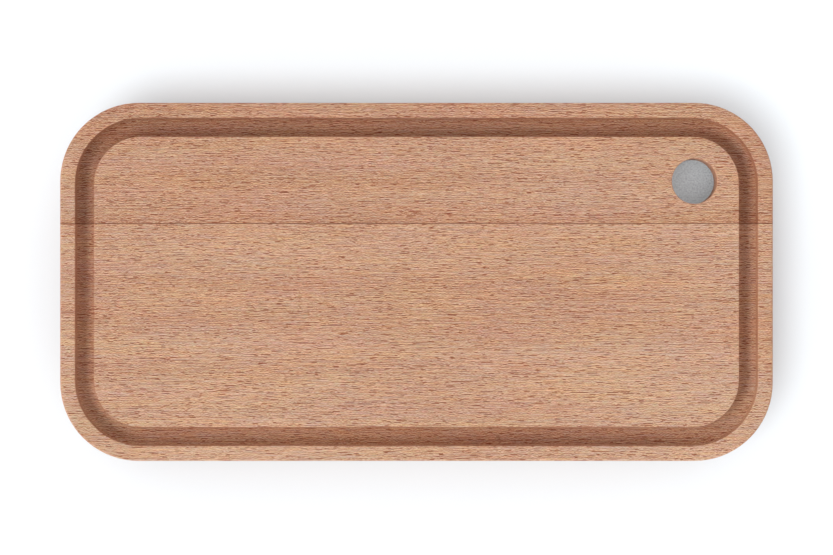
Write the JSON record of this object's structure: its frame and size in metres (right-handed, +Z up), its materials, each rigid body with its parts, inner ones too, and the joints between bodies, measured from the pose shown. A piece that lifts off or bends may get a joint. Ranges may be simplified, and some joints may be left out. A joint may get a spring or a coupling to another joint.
{
  "type": "cutting board with drawer trays",
  "caption": "Long wooden cutting board with round corners, juice groove and drop hole, on a low carcass whose steel trays slide out at the ends.",
  "frame": {"origin": "middle of the footprint, on the surface that the feet stand on", "axes": "+X along the board, +Y to its rear edge, which is the picture's upper edge, +Z up"},
  "size_m": [0.4, 0.201, 0.056],
  "materials": {
    "board_beech": "oiled, matte",
    "carcass_beech": "oiled, matte",
    "tray_steel": "satin",
    "screw_steel": "bright",
    "foot_rubber": "matte"
  },
  "bodies": {
    "carcass": {"board_rear_stave": "board_beech", "board_front_stave": "board_beech", "front_rail": "carcass_beech", "rear_rail": "carcass_beech", "centre_stretcher": "carcass_beech", "stretcher_dowels": "carcass_beech", "rail_screws": "screw_steel", "stretcher_screws": "screw_steel", "stop_pins": "screw_steel", "foot_front_left": "foot_rubber", "foot_front_right": "foot_rubber", "foot_rear_left": "foot_rubber", "foot_rear_right": "foot_rubber", "foot_screws": "screw_steel"},
    "left_tray": {"left_tray_pan": "tray_steel", "left_tray_front": "carcass_beech", "left_tray_screws": "screw_steel"},
    "right_tray": {"right_tray_pan": "tray_steel", "right_tray_front": "carcass_beech", "right_tray_screws": "screw_steel"}
  },
  "joints": [
    {"name": "left_tray_slide", "type": "slide", "parent": "carcass", "child": "left_tray", "axis": [-1, 0, 0], "range_m": [0, 0.11]},
    {"name": "right_tray_slide", "type": "slide", "parent": "carcass", "child": "right_tray", "axis": [1, 0, 0], "range_m": [0, 0.11]}
  ]
}
